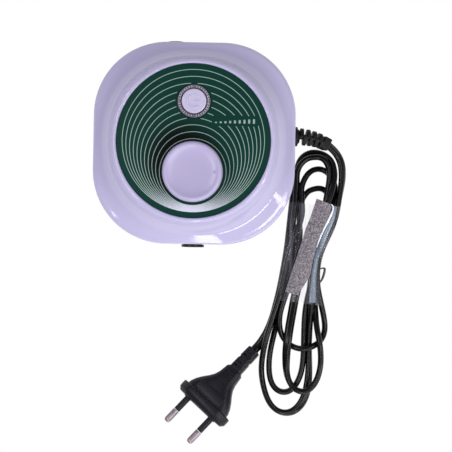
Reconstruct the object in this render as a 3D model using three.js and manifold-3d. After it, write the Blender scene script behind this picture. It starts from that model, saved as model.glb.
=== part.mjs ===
// Control unit of an electric nail file: a squat rounded-square desk box with a speed dial, a power
// button, a front socket for the handpiece, a rear pedal jack and direction switch, and a flat mains
// cord that is wound into a hank, wrapped in film and ends in a two-pin plug.
// Millimetres, +Z up, +X right, +Y to the back. The origin is the centre of the base on the table.
import * as THREE from 'three';
import { mergeVertices } from 'three/addons/utils/BufferGeometryUtils.js';
import Module from 'manifold-3d';

const wasm = await Module();
wasm.setup();

// ---------------------------------------------------------------- driving dimensions
const HALF = 57; // half width of the body across its flats
const CORNER = 41.5; // corner radius of the body seen from above
const WALL = 2.4;
const LIP_Z = 58; // top of the raised round lip
const LIP_R = 43.2; // inside this radius the body is round, outside it squares up
const SEAM_LOW = 17; // the base shell ends here
const SEAM_HIGH = 17.4; // and the top shell starts here
const RECESS_R = 42.5; // the face panel's recess inside the lip
const RECESS_Z = 54.8;
const CEILING_Z = 52.6;
const PANEL_R = 42;
const PANEL_TOP = 57;
const DIAL_Y = -17.2; // axis of the speed dial
const KEY_Y = 21.6; // axis of the power button
const SOCKET_Z = 27; // height of the handpiece socket and the pedal jack
const ROCKER_Z = 25.5; // height of the direction switch
const JACK_X = -11.5;
const ROCKER_X = 9;
const RELIEF_Y = 6.1;
const RELIEF_Z = 17.2;
const POST = 40.3; // the four case screws stand at (+-POST, +-POST)
const CLEAR = 0.3; // gap between pieces that touch
const SOCKET_END = 58.8; // how far the handpiece socket's collar reaches from the centre
const JACK_END = 57.9; // and the pedal jack's
const POCKET = 55.6; // floor of the pocket that the direction switch lies in

// The flat cord stands on its narrow edge.
const CORD_THICK = 3.4;
const CORD_WIDE = 5.2;

// The hank: two round ends joined by slightly waisted sides, lying beside the body.
const HANK_NEAR = [73.6, -17.1]; // centre of the end beside the body
const HANK_AXIS = THREE.MathUtils.degToRad(-97.6);
const HANK_LENGTH = 121.8; // between the centres of the two ends
const HANK_NEAR_R = 14.4;
const HANK_FAR_R = 18.5;
const HANK_LOW = 0.7;
const HANK_HIGH = 13.6;
const WRAP_HIGH = 14.45;

// The plug, in its own frame: +X along the pins, the origin in the middle of its face.
// It rests on one lower corner of its flange and on the end of its tail.
const PLUG_FACE = [5.5, -152.8, 11.4];
const PLUG_YAW = THREE.MathUtils.degToRad(-133.2);
const PLUG_PITCH = THREE.MathUtils.degToRad(9.6);
const PLUG_ROLL = THREE.MathUtils.degToRad(20);
const PIN_OFFSET = 9.3;

const FINISH = {
  lilac: { color: '#c8c1e2', roughness: 0.18, metalness: 0 },
  lilac_satin: { color: '#b9b0d8', roughness: 0.34, metalness: 0 },
  green_panel: { color: '#22362f', roughness: 0.3, metalness: 0 },
  smoke: { color: '#3c4348', roughness: 0.25, metalness: 0 },
  black_plastic: { color: '#17181a', roughness: 0.42, metalness: 0 },
  black_rubber: { color: '#1b1c1e', roughness: 0.7, metalness: 0 },
  cord_black: { color: '#141517', roughness: 0.28, metalness: 0 },
  film: { color: '#eef1f2', roughness: 0.12, metalness: 0, transparent: true, opacity: 0.3 },
  steel: { color: '#b9bcc0', roughness: 0.3, metalness: 1 },
  brass: { color: '#c9a55a', roughness: 0.32, metalness: 1 },
  board: { color: '#1f5b3a', roughness: 0.5, metalness: 0 },
  iron: { color: '#6b6e72', roughness: 0.5, metalness: 0.8 },
  tape: { color: '#d0a53b', roughness: 0.45, metalness: 0 },
  alloy: { color: '#9a9da1', roughness: 0.35, metalness: 1 },
  grey_plastic: { color: '#7d8185', roughness: 0.5, metalness: 0 },
  brown_wire: { color: '#6a4128', roughness: 0.45, metalness: 0 },
  blue_wire: { color: '#2c5fa8', roughness: 0.45, metalness: 0 },
};

const unit = new THREE.Group();

function add(name, finish, geometry, home = unit) {
  const mesh = new THREE.Mesh(geometry, new THREE.MeshStandardMaterial(FINISH[finish]));
  mesh.name = name;
  home.add(mesh);
  return mesh;
}

// ---------------------------------------------------------------- solids and cuts
function solidOf(geometry) {
  const bare = geometry.index ? geometry.toNonIndexed() : geometry.clone();
  bare.deleteAttribute('normal');
  bare.deleteAttribute('uv');
  const merged = mergeVertices(bare, 1e-4);
  return new wasm.Manifold(new wasm.Mesh({
    numProp: 3,
    vertProperties: merged.attributes.position.array,
    triVerts: new Uint32Array(merged.index.array),
  }));
}

function geometryOf(solid) {
  const mesh = solid.getMesh();
  return new THREE.BufferGeometry()
    .setAttribute('position', new THREE.BufferAttribute(new Float32Array(mesh.vertProperties), 3))
    .setIndex(new THREE.BufferAttribute(new Uint32Array(mesh.triVerts), 1));
}

function join(first, ...others) {
  return geometryOf(others.reduce((whole, other) => whole.add(solidOf(other)), solidOf(first)));
}

function cut(first, ...tools) {
  return geometryOf(tools.reduce((whole, tool) => whole.subtract(solidOf(tool)), solidOf(first)));
}

// A cylinder along Z.
function cylinder(radius, low, high, x = 0, y = 0, sides = 20) {
  return new THREE.CylinderGeometry(radius, radius, high - low, sides)
    .rotateX(Math.PI / 2)
    .translate(x, y, (low + high) / 2);
}

function block([x0, x1], [y0, y1], [z0, z1]) {
  return new THREE.BoxGeometry(x1 - x0, y1 - y0, z1 - z0)
    .translate((x0 + x1) / 2, (y0 + y1) / 2, (z0 + z1) / 2);
}

// A solid of revolution about Z from [radius, z] points, run in the order that faces outwards.
function lathe(profile, sides = 24) {
  const loop = profile[0][0] === 0 ? profile : [...profile, profile[0]];
  const turned = loop.slice(1).reduce(
    (sum, [r, z], i) => sum + loop[i][0] * z - r * loop[i][1], 0);
  const ordered = turned > 0 ? loop : [...loop].reverse();
  return new THREE.LatheGeometry(ordered.map(([r, z]) => new THREE.Vector2(r, z)), sides)
    .rotateX(Math.PI / 2);
}

// Points [x, y] along a quadratic curve, without its first point.
function curve(from, control, to, steps) {
  const bend = new THREE.QuadraticBezierCurve(
    new THREE.Vector2(...from), new THREE.Vector2(...control), new THREE.Vector2(...to));
  return bend.getPoints(steps).slice(1).map((p) => [p.x, p.y]);
}

// A flat outline pushed from low to high along Z.
function prism(outline, low, high, holes = []) {
  const shape = new THREE.Shape(outline.map(([x, y]) => new THREE.Vector2(x, y)));
  shape.holes = holes.map((hole) => new THREE.Path(hole.map(([x, y]) => new THREE.Vector2(x, y))));
  return new THREE.ExtrudeGeometry(shape, { depth: high - low, bevelEnabled: false })
    .translate(0, 0, low);
}

const rectangle = (a, b, x = 0, y = 0) => [[x - a, y - b], [x + a, y - b], [x + a, y + b], [x - a, y + b]];

const ring = (radius, sides, turn = 0) => Array.from({ length: sides }, (_, i) => {
  const angle = turn + (i * 2 * Math.PI) / sides;
  return [radius * Math.cos(angle), radius * Math.sin(angle)];
});

// A shape drawn in the plane (a, b) and pushed along c ends up as x = c, y = a, z = b.
const alongX = (geometry) => geometry.rotateX(Math.PI / 2).rotateZ(Math.PI / 2);

// A tube with the given half sizes along a smooth curve through the points.
function sweep(points, halfUp, halfSide, steps, sides) {
  const path = new THREE.CatmullRomCurve3(points.map((p) => new THREE.Vector3(...p)));
  const section = ring(1, sides, Math.PI / sides).map(([x, y]) => [x * halfUp, y * halfSide]);
  const shape = new THREE.Shape(section.map(([x, y]) => new THREE.Vector2(x, y)));
  return new THREE.ExtrudeGeometry(shape, { steps, bevelEnabled: false, extrudePath: path });
}

function reshape(geometry, change) {
  const place = geometry.attributes.position;
  const point = new THREE.Vector3();
  for (let i = 0; i < place.count; i += 1) {
    point.fromBufferAttribute(place, i);
    change(point);
    place.setXYZ(i, point.x, point.y, point.z);
  }
  return geometry;
}

// ---------------------------------------------------------------- the rounded-square body
// Distance from the centre to the body's outline in the direction of the angle.
function outline(angle) {
  const major = Math.max(Math.abs(Math.cos(angle)), Math.abs(Math.sin(angle)));
  const minor = Math.min(Math.abs(Math.cos(angle)), Math.abs(Math.sin(angle)));
  const inset = HALF - CORNER;
  if ((HALF * minor) / major <= inset) return HALF / major;
  const reach = inset * (major + minor);
  return reach + Math.sqrt(reach ** 2 - 2 * inset ** 2 + CORNER ** 2);
}

// Turns a round body into the rounded square, growing from nothing at the lip to all at the edge.
function squared(geometry) {
  return reshape(geometry, (p) => {
    const radius = Math.hypot(p.x, p.y);
    if (radius <= LIP_R) return;
    const share = (radius - LIP_R) / (HALF - LIP_R);
    const grown = LIP_R + share * (outline(Math.atan2(p.y, p.x)) - LIP_R);
    p.x *= grown / radius;
    p.y *= grown / radius;
  });
}

const BODY_SIDES = 48;
const corners = (a, b = a) => [[a, b], [-a, b], [-a, -b], [a, -b]];
const controlPosts = [[21, 27], [-21, 27], [-21, -23], [21, -23]];
const boardPosts = [[31, 31], [-31, 31], [-31, -28], [31, -28]];
const RELIEF_NOTCH = 4.7;
const reliefNotch = () => cylinder(RELIEF_NOTCH, 50, 60, 0, 0, 24)
  .rotateY(Math.PI / 2)
  .translate(0, RELIEF_Y, RELIEF_Z);

function topShell() {
  const inside = HALF - WALL;
  const shoulder = [55.38, 38.14];
  const shell = squared(lathe([
    [0, CEILING_Z], [42.8, CEILING_Z], ...curve([42.8, CEILING_Z], [46.4, 39.4], [53.4, 36.2], 3),
    [inside, 34.8], [inside, SEAM_HIGH], [HALF, SEAM_HIGH], [HALF, 35.6],
    ...curve([HALF, 35.6], [HALF, 37.4], shoulder, 2),
    ...curve(shoulder, [48.65, 41.28], [44.9, 56.3], 5),
    [44.65, 57.2], [44.1, 57.8], [43.4, LIP_Z], [42.8, 57.75], [RECESS_R, 57.2],
    [RECESS_R, RECESS_Z], [0, RECESS_Z],
  ], BODY_SIDES));
  const posts = corners(POST).map(([x, y]) => cylinder(4.2, SEAM_HIGH, 34, x, y, 14));
  const bosses = controlPosts.map(([x, y]) => cylinder(3.2, 41.8, 53, x, y, 14));
  return cut(
    join(shell, ...posts, ...bosses),
    ...corners(POST).map(([x, y]) => cylinder(1.5, SEAM_HIGH - 1, 32, x, y, 10)),
    ...controlPosts.map(([x, y]) => cylinder(1.4, 41, 51, x, y, 10)),
    cylinder(4.3, 50, 56, 0, DIAL_Y),
    cylinder(9.5, 50, 56, 0, KEY_Y, 28),
    cylinder(5.7, 50, 60, 0, 0, 24).rotateX(Math.PI / 2).translate(0, 0, SOCKET_Z),
    cylinder(4.9, 50, 60, 0, 0, 24).rotateX(-Math.PI / 2).translate(JACK_X, 0, SOCKET_Z),
    block([ROCKER_X - 4.8, ROCKER_X + 4.8], [50, 60], [ROCKER_Z - 6.1, ROCKER_Z + 6.1]),
    block([ROCKER_X - 5.6, ROCKER_X + 5.6], [POCKET, 60], [ROCKER_Z - 7, ROCKER_Z + 7]),
    reliefNotch(),
  );
}

function baseShell() {
  const shell = squared(lathe([
    [0, 2], [51, 2], [53.5, 2.6], [55.9, 4.6], [56.9, 7.5], [HALF, 9], [HALF, SEAM_LOW],
    [HALF - WALL, SEAM_LOW], [HALF - WALL, 8], [53.2, 5.2], [51, 4.2], [0, 4.2],
  ], BODY_SIDES));
  const posts = corners(POST).map(([x, y]) => cylinder(4.2, 4, SEAM_LOW, x, y, 14));
  const standoffs = boardPosts.map(([x, y]) => cylinder(3.4, 4, 8.2, x, y, 14));
  const vents = [-15, -9, -3, 3, 9, 15].map((x) => block([x - 1, x + 1], [-9, 9], [1, 5]));
  return cut(
    join(shell, ...posts, ...standoffs),
    ...corners(POST).map(([x, y]) => cylinder(1.9, 1, 18, x, y, 10)),
    ...corners(POST).map(([x, y]) => cylinder(3.4, 1, 6.6, x, y, 14)),
    ...boardPosts.map(([x, y]) => cylinder(1.3, 4.8, 9, x, y, 10)),
    ...vents,
    reliefNotch(),
  );
}

add('base_shell', 'lilac', baseShell());
add('top_shell', 'lilac', topShell());
add('face_panel', 'green_panel', cut(
  cylinder(PANEL_R, RECESS_Z + CLEAR, PANEL_TOP, 0, 0, BODY_SIDES),
  cylinder(4.3, 50, 60, 0, DIAL_Y),
  cylinder(9.4, 50, 60, 0, KEY_Y, 28),
));

// ---------------------------------------------------------------- power button
const SWITCH_TOP = 45.5;
const PLUNGER_TOP = 46.8;

function springWire(coilR, wireR, low, high, turns) {
  const rise = high - low - 2 * wireR;
  const steps = Math.round(turns * 12);
  const points = Array.from({ length: steps + 1 }, (_, i) => {
    const angle = (i / steps) * turns * 2 * Math.PI;
    return [coilR * Math.cos(angle), coilR * Math.sin(angle), low + wireR + (rise * i) / steps];
  });
  return sweep(points, wireR, wireR, steps, 6);
}

function powerButton() {
  const key = new THREE.Group();
  key.position.set(0, KEY_Y, 0);
  unit.add(key);
  add('button_ring', 'smoke', lathe([
    [7.15, 50.6], [11, 50.6], [11, 52.3], [9.1, 52.3], [9.1, 57.6], [8.7, 58.2], [7.5, 58.2], [7.15, 57.9],
  ]), key);
  add('power_button', 'lilac_satin', lathe([
    [0, PLUNGER_TOP + CLEAR], [2, PLUNGER_TOP + CLEAR], [2, 48.8], [8.2, 48.8], [8.2, 50.3], [6.8, 50.3],
    [6.8, 58.4], [6.3, 58.9], [5.6, 59.05], [0, 58.95],
  ]), key);
  add('switch_plunger', 'grey_plastic', cylinder(1.75, PLUNGER_TOP - 2.6, PLUNGER_TOP, 0, 0, 14), key);
  add('power_switch', 'black_plastic', cut(
    block([-5, 5], [-5, 5], [41.8, SWITCH_TOP]),
    cylinder(2.05, 42.4, SWITCH_TOP + 1, 0, 0, 16),
  ), key);
  add('button_spring', 'steel', springWire(3.4, 0.3, SWITCH_TOP + CLEAR, 48.5, 2.25), key);
}
powerButton();

// ---------------------------------------------------------------- speed dial
function speedDial() {
  const dial = new THREE.Group();
  dial.position.set(0, DIAL_Y, 0);
  unit.add(dial);
  add('speed_knob', 'lilac_satin', cut(
    lathe([
      [0, 66.2], [3.2, 66.2], [3.2, 61], [5.5, 61], [5.5, 65.8], [14.6, 65.8], [14.6, 57.6], [16.3, 57.6],
      [16.5, 58.2], [16.4, 66.5], [16.1, 68], [15.2, 69.1], [13.9, 69.5], [12.4, 68.9], [10, 68], [0, 67.9],
    ], 32),
    cylinder(0.8, 67.6, 71, 11.9, 0, 10),
  ), dial);
  add('pot_shaft', 'alloy', cylinder(3, 46.3, 66, 0, 0, 20), dial);
  add('potentiometer', 'grey_plastic', lathe([
    [0, 41.7], [8.3, 41.7], [8.3, 52.2], [3.9, 52.2], [3.9, 60.4], [3.25, 60.4], [3.25, 46], [0, 46],
  ], 24), dial);
  add('pot_washer', 'steel', cut(cylinder(6, 57.1, 57.7), cylinder(4.2, 56, 59)), dial);
  add('pot_nut', 'brass', prism(ring(5.8, 6), 57.9, 60.1, [ring(4.2, 20)]), dial);
}
speedDial();

// ---------------------------------------------------------------- boards and what they carry
// A screw with its head between headZ and its shank between shankZ, either way up.
function screw(headR, shankR, headZ, shankZ) {
  const up = headZ[0] < shankZ[0];
  const [tip, joint, top] = up ? [shankZ[1], shankZ[0], headZ[0]] : [shankZ[0], shankZ[1], headZ[1]];
  return lathe([
    [0, tip], [shankR, tip], [shankR, joint], [headR, joint], [headR * 0.9, top], [0, top],
  ], 10);
}

function fixAt(names, places, finish, shape) {
  places.forEach(([x, y], i) => {
    add(`${names}_${i + 1}`, finish, shape()).position.set(x, y, 0);
  });
}

function boards() {
  add('control_board', 'board', cut(
    block([-26, 26], [-28, 32], [39.9, 41.5]),
    ...controlPosts.map(([x, y]) => cylinder(1.6, 39, 43, x, y, 12)),
  ));
  fixAt('control_screw', controlPosts, 'steel', () => screw(2.6, 1.15, [38.2, 39.8], [39.8, 49]));
  add('main_board', 'board', cut(
    block([-36, 36], [-33, 36], [8.3, 9.9]),
    ...boardPosts.map(([x, y]) => cylinder(1.6, 7, 11, x, y, 12)),
  ));
  fixAt('board_screw', boardPosts, 'steel', () => screw(2.7, 1, [10.1, 11.7], [5.2, 10.1]));
}
boards();

const BOARD_TOP = 10.1;

function transformer() {
  const home = new THREE.Group();
  home.position.set(-8, 10, BOARD_TOP);
  unit.add(home);
  add('transformer_core', 'iron', cut(
    block([-19, 19], [-9, 9], [0, 28]),
    ...[-9.3, 9.3].map((x) => block([x - 3.1, x + 3.1], [-10, 10], [6.2, 21.8])),
  ), home);
  add('transformer_coil', 'tape', prism(rectangle(12.1, 15), 6.5, 21.5, [rectangle(6.5, 9.3)]), home);
}
transformer();

function mainBoardParts() {
  add('capacitor', 'black_plastic', lathe([
    [0, 0], [7.6, 0], [8, 0.5], [8, 23.2], [7.4, 23.9], [0, 23.7],
  ], 20)).position.set(22, 22, BOARD_TOP);

  const fins = [];
  for (let x = -15; x < 12; x += 4.7) {
    fins.push([x, 14], [x + 1.8, 14], [x + 1.8, 2.5], [x + 4.7, 2.5]);
  }
  add('heatsink', 'alloy', prism([[-15, 0], ...fins, [14.9, 2.5], [14.9, 0]], 0, 21.9))
    .position.set(18, -21, BOARD_TOP);
  add('regulator', 'black_plastic', join(
    block([-5, 5], [-4.6, -1.2], [3, 12]),
    block([-5, 5], [-1.4, -CLEAR], [3, 18]),
    ...[-2.5, 0, 2.5].map((x) => block([x - 0.4, x + 0.4], [-3.2, -2.6], [0, 4])),
  )).position.set(18, -21, BOARD_TOP);
  add('mains_fuse', 'steel', alongX(lathe([
    [0, -10], [2.9, -10], [2.9, -5], [2.4, -5], [2.4, 5], [2.9, 5], [2.9, 10], [0, 10],
  ], 14).rotateZ(Math.PI / 2))).position.set(-13, -18, 13.4);
  add('terminal_block', 'grey_plastic', cut(
    block([-4.5, 4.5], [-5, 5], [0, 10]),
    ...[-2.4, 2.4].map((y) => block([0, 5], [y - 1.6, y + 1.6], [2, 7])),
    ...[-2.4, 2.4].map((y) => cylinder(1.5, 6, 11, -1, y, 10)),
  )).position.set(29.5, RELIEF_Y, BOARD_TOP);
  for (const [name, finish, side] of [['live_wire', 'brown_wire', 1], ['neutral_wire', 'blue_wire', -1]]) {
    add(name, finish, sweep([
      [49.9, RELIEF_Y + side * 1.3, RELIEF_Z], [44, RELIEF_Y + side * 2, 16.6],
      [37, RELIEF_Y + side * 2.4, 14.9], [31, RELIEF_Y + side * 2.4, 14.6],
    ], 1, 1, 8, 8));
  }
  const middle = [[-22, 0.1], [-22, 4], [-27.5, 11], [-27.5, 19], [-22, 25], [-22, 29.5]];
  const ribbon = [...middle, ...middle.map(([x, z]) => [x - 1.2, z]).reverse()];
  add('board_cable', 'grey_plastic', prism(ribbon, 4, 14).rotateX(Math.PI / 2))
    .position.set(0, 0, BOARD_TOP);
}
mainBoardParts();

// ---------------------------------------------------------------- sockets and switch in the walls
// A group whose +Z points out of the front wall (turn = 1) or the rear wall (turn = -1).
function wallGroup(x, z, turn) {
  const home = new THREE.Group();
  home.position.set(x, 0, z);
  home.rotation.x = (turn * Math.PI) / 2;
  unit.add(home);
  return home;
}

function handpieceSocket() {
  const home = wallGroup(0, SOCKET_Z, 1);
  add('handpiece_socket', 'black_plastic', lathe([
    [0, 36], [5, 36], [5, 46], [5.3, 46], [5.3, HALF + CLEAR], [6.45, HALF + CLEAR], [6.45, SOCKET_END - 0.5],
    [6, SOCKET_END], [4.4, SOCKET_END], [4.2, SOCKET_END - 0.2], [4.2, 45], [0, 45],
  ], 24), home);
  add('socket_nut', 'steel', prism(ring(8, 6), 51.2, 54, [ring(5.6, 20)]), home);
  add('socket_contacts', 'brass', join(
    cylinder(3.9, 45.3, 46.6, 0, 0, 20),
    ...ring(2.3, 5).map(([x, y]) => cylinder(0.5, 46, 49, x, y, 8)),
  ), home);
}
handpieceSocket();

function pedalJack() {
  const home = wallGroup(JACK_X, SOCKET_Z, -1);
  add('pedal_jack', 'black_plastic', lathe([
    [0, 40], [4.5, 40], [4.5, HALF + CLEAR], [5.6, HALF + CLEAR], [5.6, JACK_END - 0.2], [5.4, JACK_END],
    [3.6, JACK_END], [3.4, JACK_END - 0.2], [3.4, 43], [0, 43],
  ], 24), home);
  add('pedal_nut', 'steel', prism(ring(6.9, 6), 51.4, 53.9, [ring(4.8, 20)]), home);
}
pedalJack();

const ROCKER_PIVOT = 52.4;
const ROCKER_REST = THREE.MathUtils.degToRad(9);

function directionSwitch() {
  const home = wallGroup(ROCKER_X, ROCKER_Z, -1);
  add('direction_switch', 'black_plastic', cut(
    join(
      prism(rectangle(5.3, 6.7), POCKET + CLEAR, HALF - 0.1),
      prism(rectangle(4.6, 5.9), 44, HALF - 0.6),
    ),
    block([-3.7, 3.7], [-5.1, 5.1], [49, 60]),
    cylinder(1.25, -4.3, 4.3, 0, 0, 12).rotateY(Math.PI / 2).translate(0, 0, ROCKER_PIVOT),
  ), home);
  const paddle = [[-4.3, 4], [-4.3, 1], [-2, -2.4], [2, -2.4], [4.3, 1], [4.3, 4], [0, 3]];
  add('direction_rocker', 'black_plastic', join(
    alongX(prism(paddle, -3.4, 3.4)),
    cylinder(0.9, -4.1, 4.1, 0, 0, 12).rotateY(Math.PI / 2),
  ).rotateX(ROCKER_REST).translate(0, 0, ROCKER_PIVOT), home);
}
directionSwitch();

// ---------------------------------------------------------------- feet and case screws
fixAt('foot', corners(33), 'black_rubber', () => lathe([
  [0, 0], [5.4, 0], [6, 0.5], [6, 1.9], [0, 1.9],
], 20));
fixAt('case_screw', corners(POST), 'steel', () => screw(3, 1.3, [3.8, 6.3], [6.3, 29]));

// ---------------------------------------------------------------- strain relief
const RELIEF_START = 50;
const BEND_FROM = 9;
const BEND_R = 27.9;
const BEND_TO = [0.76, -0.65]; // down and forwards, in the relief's own plane

// Bends what lies beyond BEND_FROM along Z onto an arc.
function bent(geometry) {
  const [bx, by] = BEND_TO;
  return reshape(geometry, (p) => {
    if (p.z <= BEND_FROM) return;
    const toward = p.x * bx + p.y * by;
    const turn = (p.z - BEND_FROM) / BEND_R;
    const moved = BEND_R - (BEND_R - toward) * Math.cos(turn) - toward;
    p.x += moved * bx;
    p.y += moved * by;
    p.z = BEND_FROM + (BEND_R - toward) * Math.sin(turn);
  });
}

function strainRelief() {
  const profile = [
    [0, 0.3], [5.6, 0.3], [5.6, 4.2], [4.3, 4.2], [4.3, 7.3], [5.65, 7.3], [5.65, 9], [3.4, 9],
  ];
  for (let i = 0; i < 4; i += 1) {
    const from = 10.6 + i * 3.4;
    profile.push([3.3 - i * 0.1, from], [4.5 - i * 0.2, from], [4.4 - i * 0.2, from + 1.9],
      [3.2 - i * 0.1, from + 1.9]);
  }
  profile.push([3, 24.2], [3.4, 24.4], [3.4, 28.2], [3.1, 28.5], [0, 28.5]);
  const home = new THREE.Group();
  home.position.set(RELIEF_START, RELIEF_Y, RELIEF_Z);
  home.rotation.y = Math.PI / 2;
  unit.add(home);
  add('strain_relief', 'black_rubber', bent(lathe(profile, 16)), home);
}
strainRelief();

// ---------------------------------------------------------------- the cord
add('cord_lead', 'cord_black', sweep([
  [77.3, 1.6, 12], [80.2, -0.3, 9.7], [82.7, -2.7, 7.4], [84.7, -5.1, 5.8],
], CORD_THICK / 2, CORD_WIDE / 2, 4, 8));
add('cord_tail', 'cord_black', sweep([
  [45.2, -105, 2.9], [43.5, -110.2, 2.9], [40.6, -115.2, 3.2], [36.5, -119.8, 3.7],
], CORD_WIDE / 2, CORD_THICK / 2, 5, 8));

function hank() {
  const home = new THREE.Group();
  home.position.set(...HANK_NEAR, 0);
  home.rotation.z = HANK_AXIS;
  unit.add(home);
  const waist = [66, 8];
  const shape = new THREE.Shape();
  shape.absarc(0, 0, HANK_NEAR_R, Math.PI / 2, (3 * Math.PI) / 2, false);
  shape.quadraticCurveTo(waist[0], -waist[1], HANK_LENGTH, -HANK_FAR_R);
  shape.absarc(HANK_LENGTH, 0, HANK_FAR_R, -Math.PI / 2, Math.PI / 2, false);
  shape.quadraticCurveTo(waist[0], waist[1], 0, HANK_NEAR_R);
  const pushed = { depth: HANK_HIGH - HANK_LOW, bevelEnabled: false, curveSegments: 12 };
  add('cord_hank', 'cord_black', new THREE.ExtrudeGeometry(shape, pushed).translate(0, 0, HANK_LOW), home);

  const film = 0.35;
  const halfWide = 14.6;
  const halfHigh = (WRAP_HIGH - 0.05) / 2;
  const outer = rectangle(halfWide, halfHigh, 0, WRAP_HIGH - halfHigh);
  const inner = rectangle(halfWide - film, halfHigh - film, 0, WRAP_HIGH - halfHigh);
  add('cord_wrap', 'film', alongX(prism(outer, 15, 72, [inner])), home);
}
hank();

// ---------------------------------------------------------------- the plug
function plug() {
  const home = new THREE.Group();
  home.position.set(...PLUG_FACE);
  home.rotation.set(PLUG_ROLL, -PLUG_PITCH, PLUG_YAW, 'ZYX');
  unit.add(home);

  const hexagon = [[17.65, 2.4], [11.4, 6.85], [-11.4, 6.85], [-17.65, 2.4],
    [-17.65, -2.4], [-11.4, -6.85], [11.4, -6.85], [17.65, -2.4]];
  const flange = alongX(prism(hexagon, -6.5, 0));
  const grip = reshape(
    lathe([[0, -27.5], [4.6, -27.5], [5.4, -24], [7.6, -18], [11, -12], [13.6, -6], [0, -6]], 24),
    (p) => { p.y *= 0.47 + (0.35 * (-6 - p.z)) / 21.5; },
  ).rotateZ(Math.PI / 2).rotateY(Math.PI / 2);
  const relief = [[0, -45], [3, -45]];
  for (let x = -44.6; x < -28; x += 4.2) {
    relief.push([3.1, x], [3.1, x + 1.4], [2.7, x + 1.4], [2.7, x + 4.2]);
  }
  relief.push([3.6, -27], [0, -27]);
  const tail = lathe(relief, 16).rotateY(Math.PI / 2);
  const sleeves = [-1, 1].map((side) => cylinder(1.9, -1, 10, 0, 0, 16)
    .rotateY(Math.PI / 2)
    .translate(0, side * PIN_OFFSET, 0));
  add('plug_body', 'black_plastic', join(flange, grip, tail, ...sleeves), home);

  for (const [name, side] of [['plug_pin_left', 1], ['plug_pin_right', -1]]) {
    add(name, 'steel', lathe([
      [0, 10.3], [2, 10.3], [2, 17.6], [1.6, 18.6], [0.8, 19], [0, 19],
    ], 16).rotateY(Math.PI / 2), home).position.set(0, side * PIN_OFFSET, 0);
  }
}
plug();

export default unit;
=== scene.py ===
"""Looks of the nail-file control unit: a lilac rounded-square desk box with a dark green face panel, a
speed dial and a power button, and a flat black mains cord in a hank held by a clear film wrap.

Lengths are written in millimetres, as in the CAD model, and MM turns them into metres.
"""

import math

import bmesh
import bpy
from mathutils import Matrix, Vector


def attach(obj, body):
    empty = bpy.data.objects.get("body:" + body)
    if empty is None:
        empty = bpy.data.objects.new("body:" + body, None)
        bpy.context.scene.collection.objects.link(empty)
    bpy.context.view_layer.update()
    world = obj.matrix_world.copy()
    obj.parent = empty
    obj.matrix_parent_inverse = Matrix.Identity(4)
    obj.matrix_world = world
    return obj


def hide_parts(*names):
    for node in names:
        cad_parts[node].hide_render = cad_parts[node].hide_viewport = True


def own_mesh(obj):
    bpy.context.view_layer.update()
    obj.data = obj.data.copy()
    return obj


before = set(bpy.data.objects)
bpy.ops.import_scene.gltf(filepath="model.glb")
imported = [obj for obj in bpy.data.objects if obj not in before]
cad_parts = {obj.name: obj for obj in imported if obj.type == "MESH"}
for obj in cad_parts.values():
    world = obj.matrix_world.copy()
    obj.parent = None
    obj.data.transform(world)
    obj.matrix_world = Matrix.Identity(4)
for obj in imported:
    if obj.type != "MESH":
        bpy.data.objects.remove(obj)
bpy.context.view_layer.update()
scene = bpy.context.scene
MM = 0.001

# ------------------------------------------------------------------ driving dimensions (mm)
HALF = 57.0
CORNER = 41.5
LIP_R = 43.2
LIP_TOP = 58.0
PANEL_TOP = 57.0
DIAL_Y = -17.2
KEY_Y = 21.6
SOCKET_Z = 27.0
RELIEF_BASE = (50.0, 6.1, 17.2)
CORD_THICK = 3.4
CORD_WIDE = 5.2
JACK_X = -11.5
ROCKER_X = 9.0
ROCKER_Z = 25.5
PLUG_FACE = (5.5, -152.8, 11.6)
PLUG_YAW = math.radians(-133.2)
PLUG_PITCH = math.radians(9.6)
PLUG_ROLL = math.radians(20)


# ------------------------------------------------------------------ camera
def make_camera():
    data = bpy.data.cameras.new("camera")
    data.sensor_width = 36.0
    data.lens = 100.8
    camera = bpy.data.objects.new("camera", data)
    camera.location = (0.0188, -0.0464, 0.750)
    camera.rotation_euler = (0, 0, math.radians(1.1))
    scene.collection.objects.link(camera)
    scene.camera = camera


make_camera()


# ------------------------------------------------------------------ materials
def linear(code):
    """Linear colour from a hex code."""
    parts = [int(code[i : i + 2], 16) / 255 for i in (1, 3, 5)]
    return [p / 12.92 if p <= 0.04045 else ((p + 0.055) / 1.055) ** 2.4 for p in parts] + [1.0]


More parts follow.
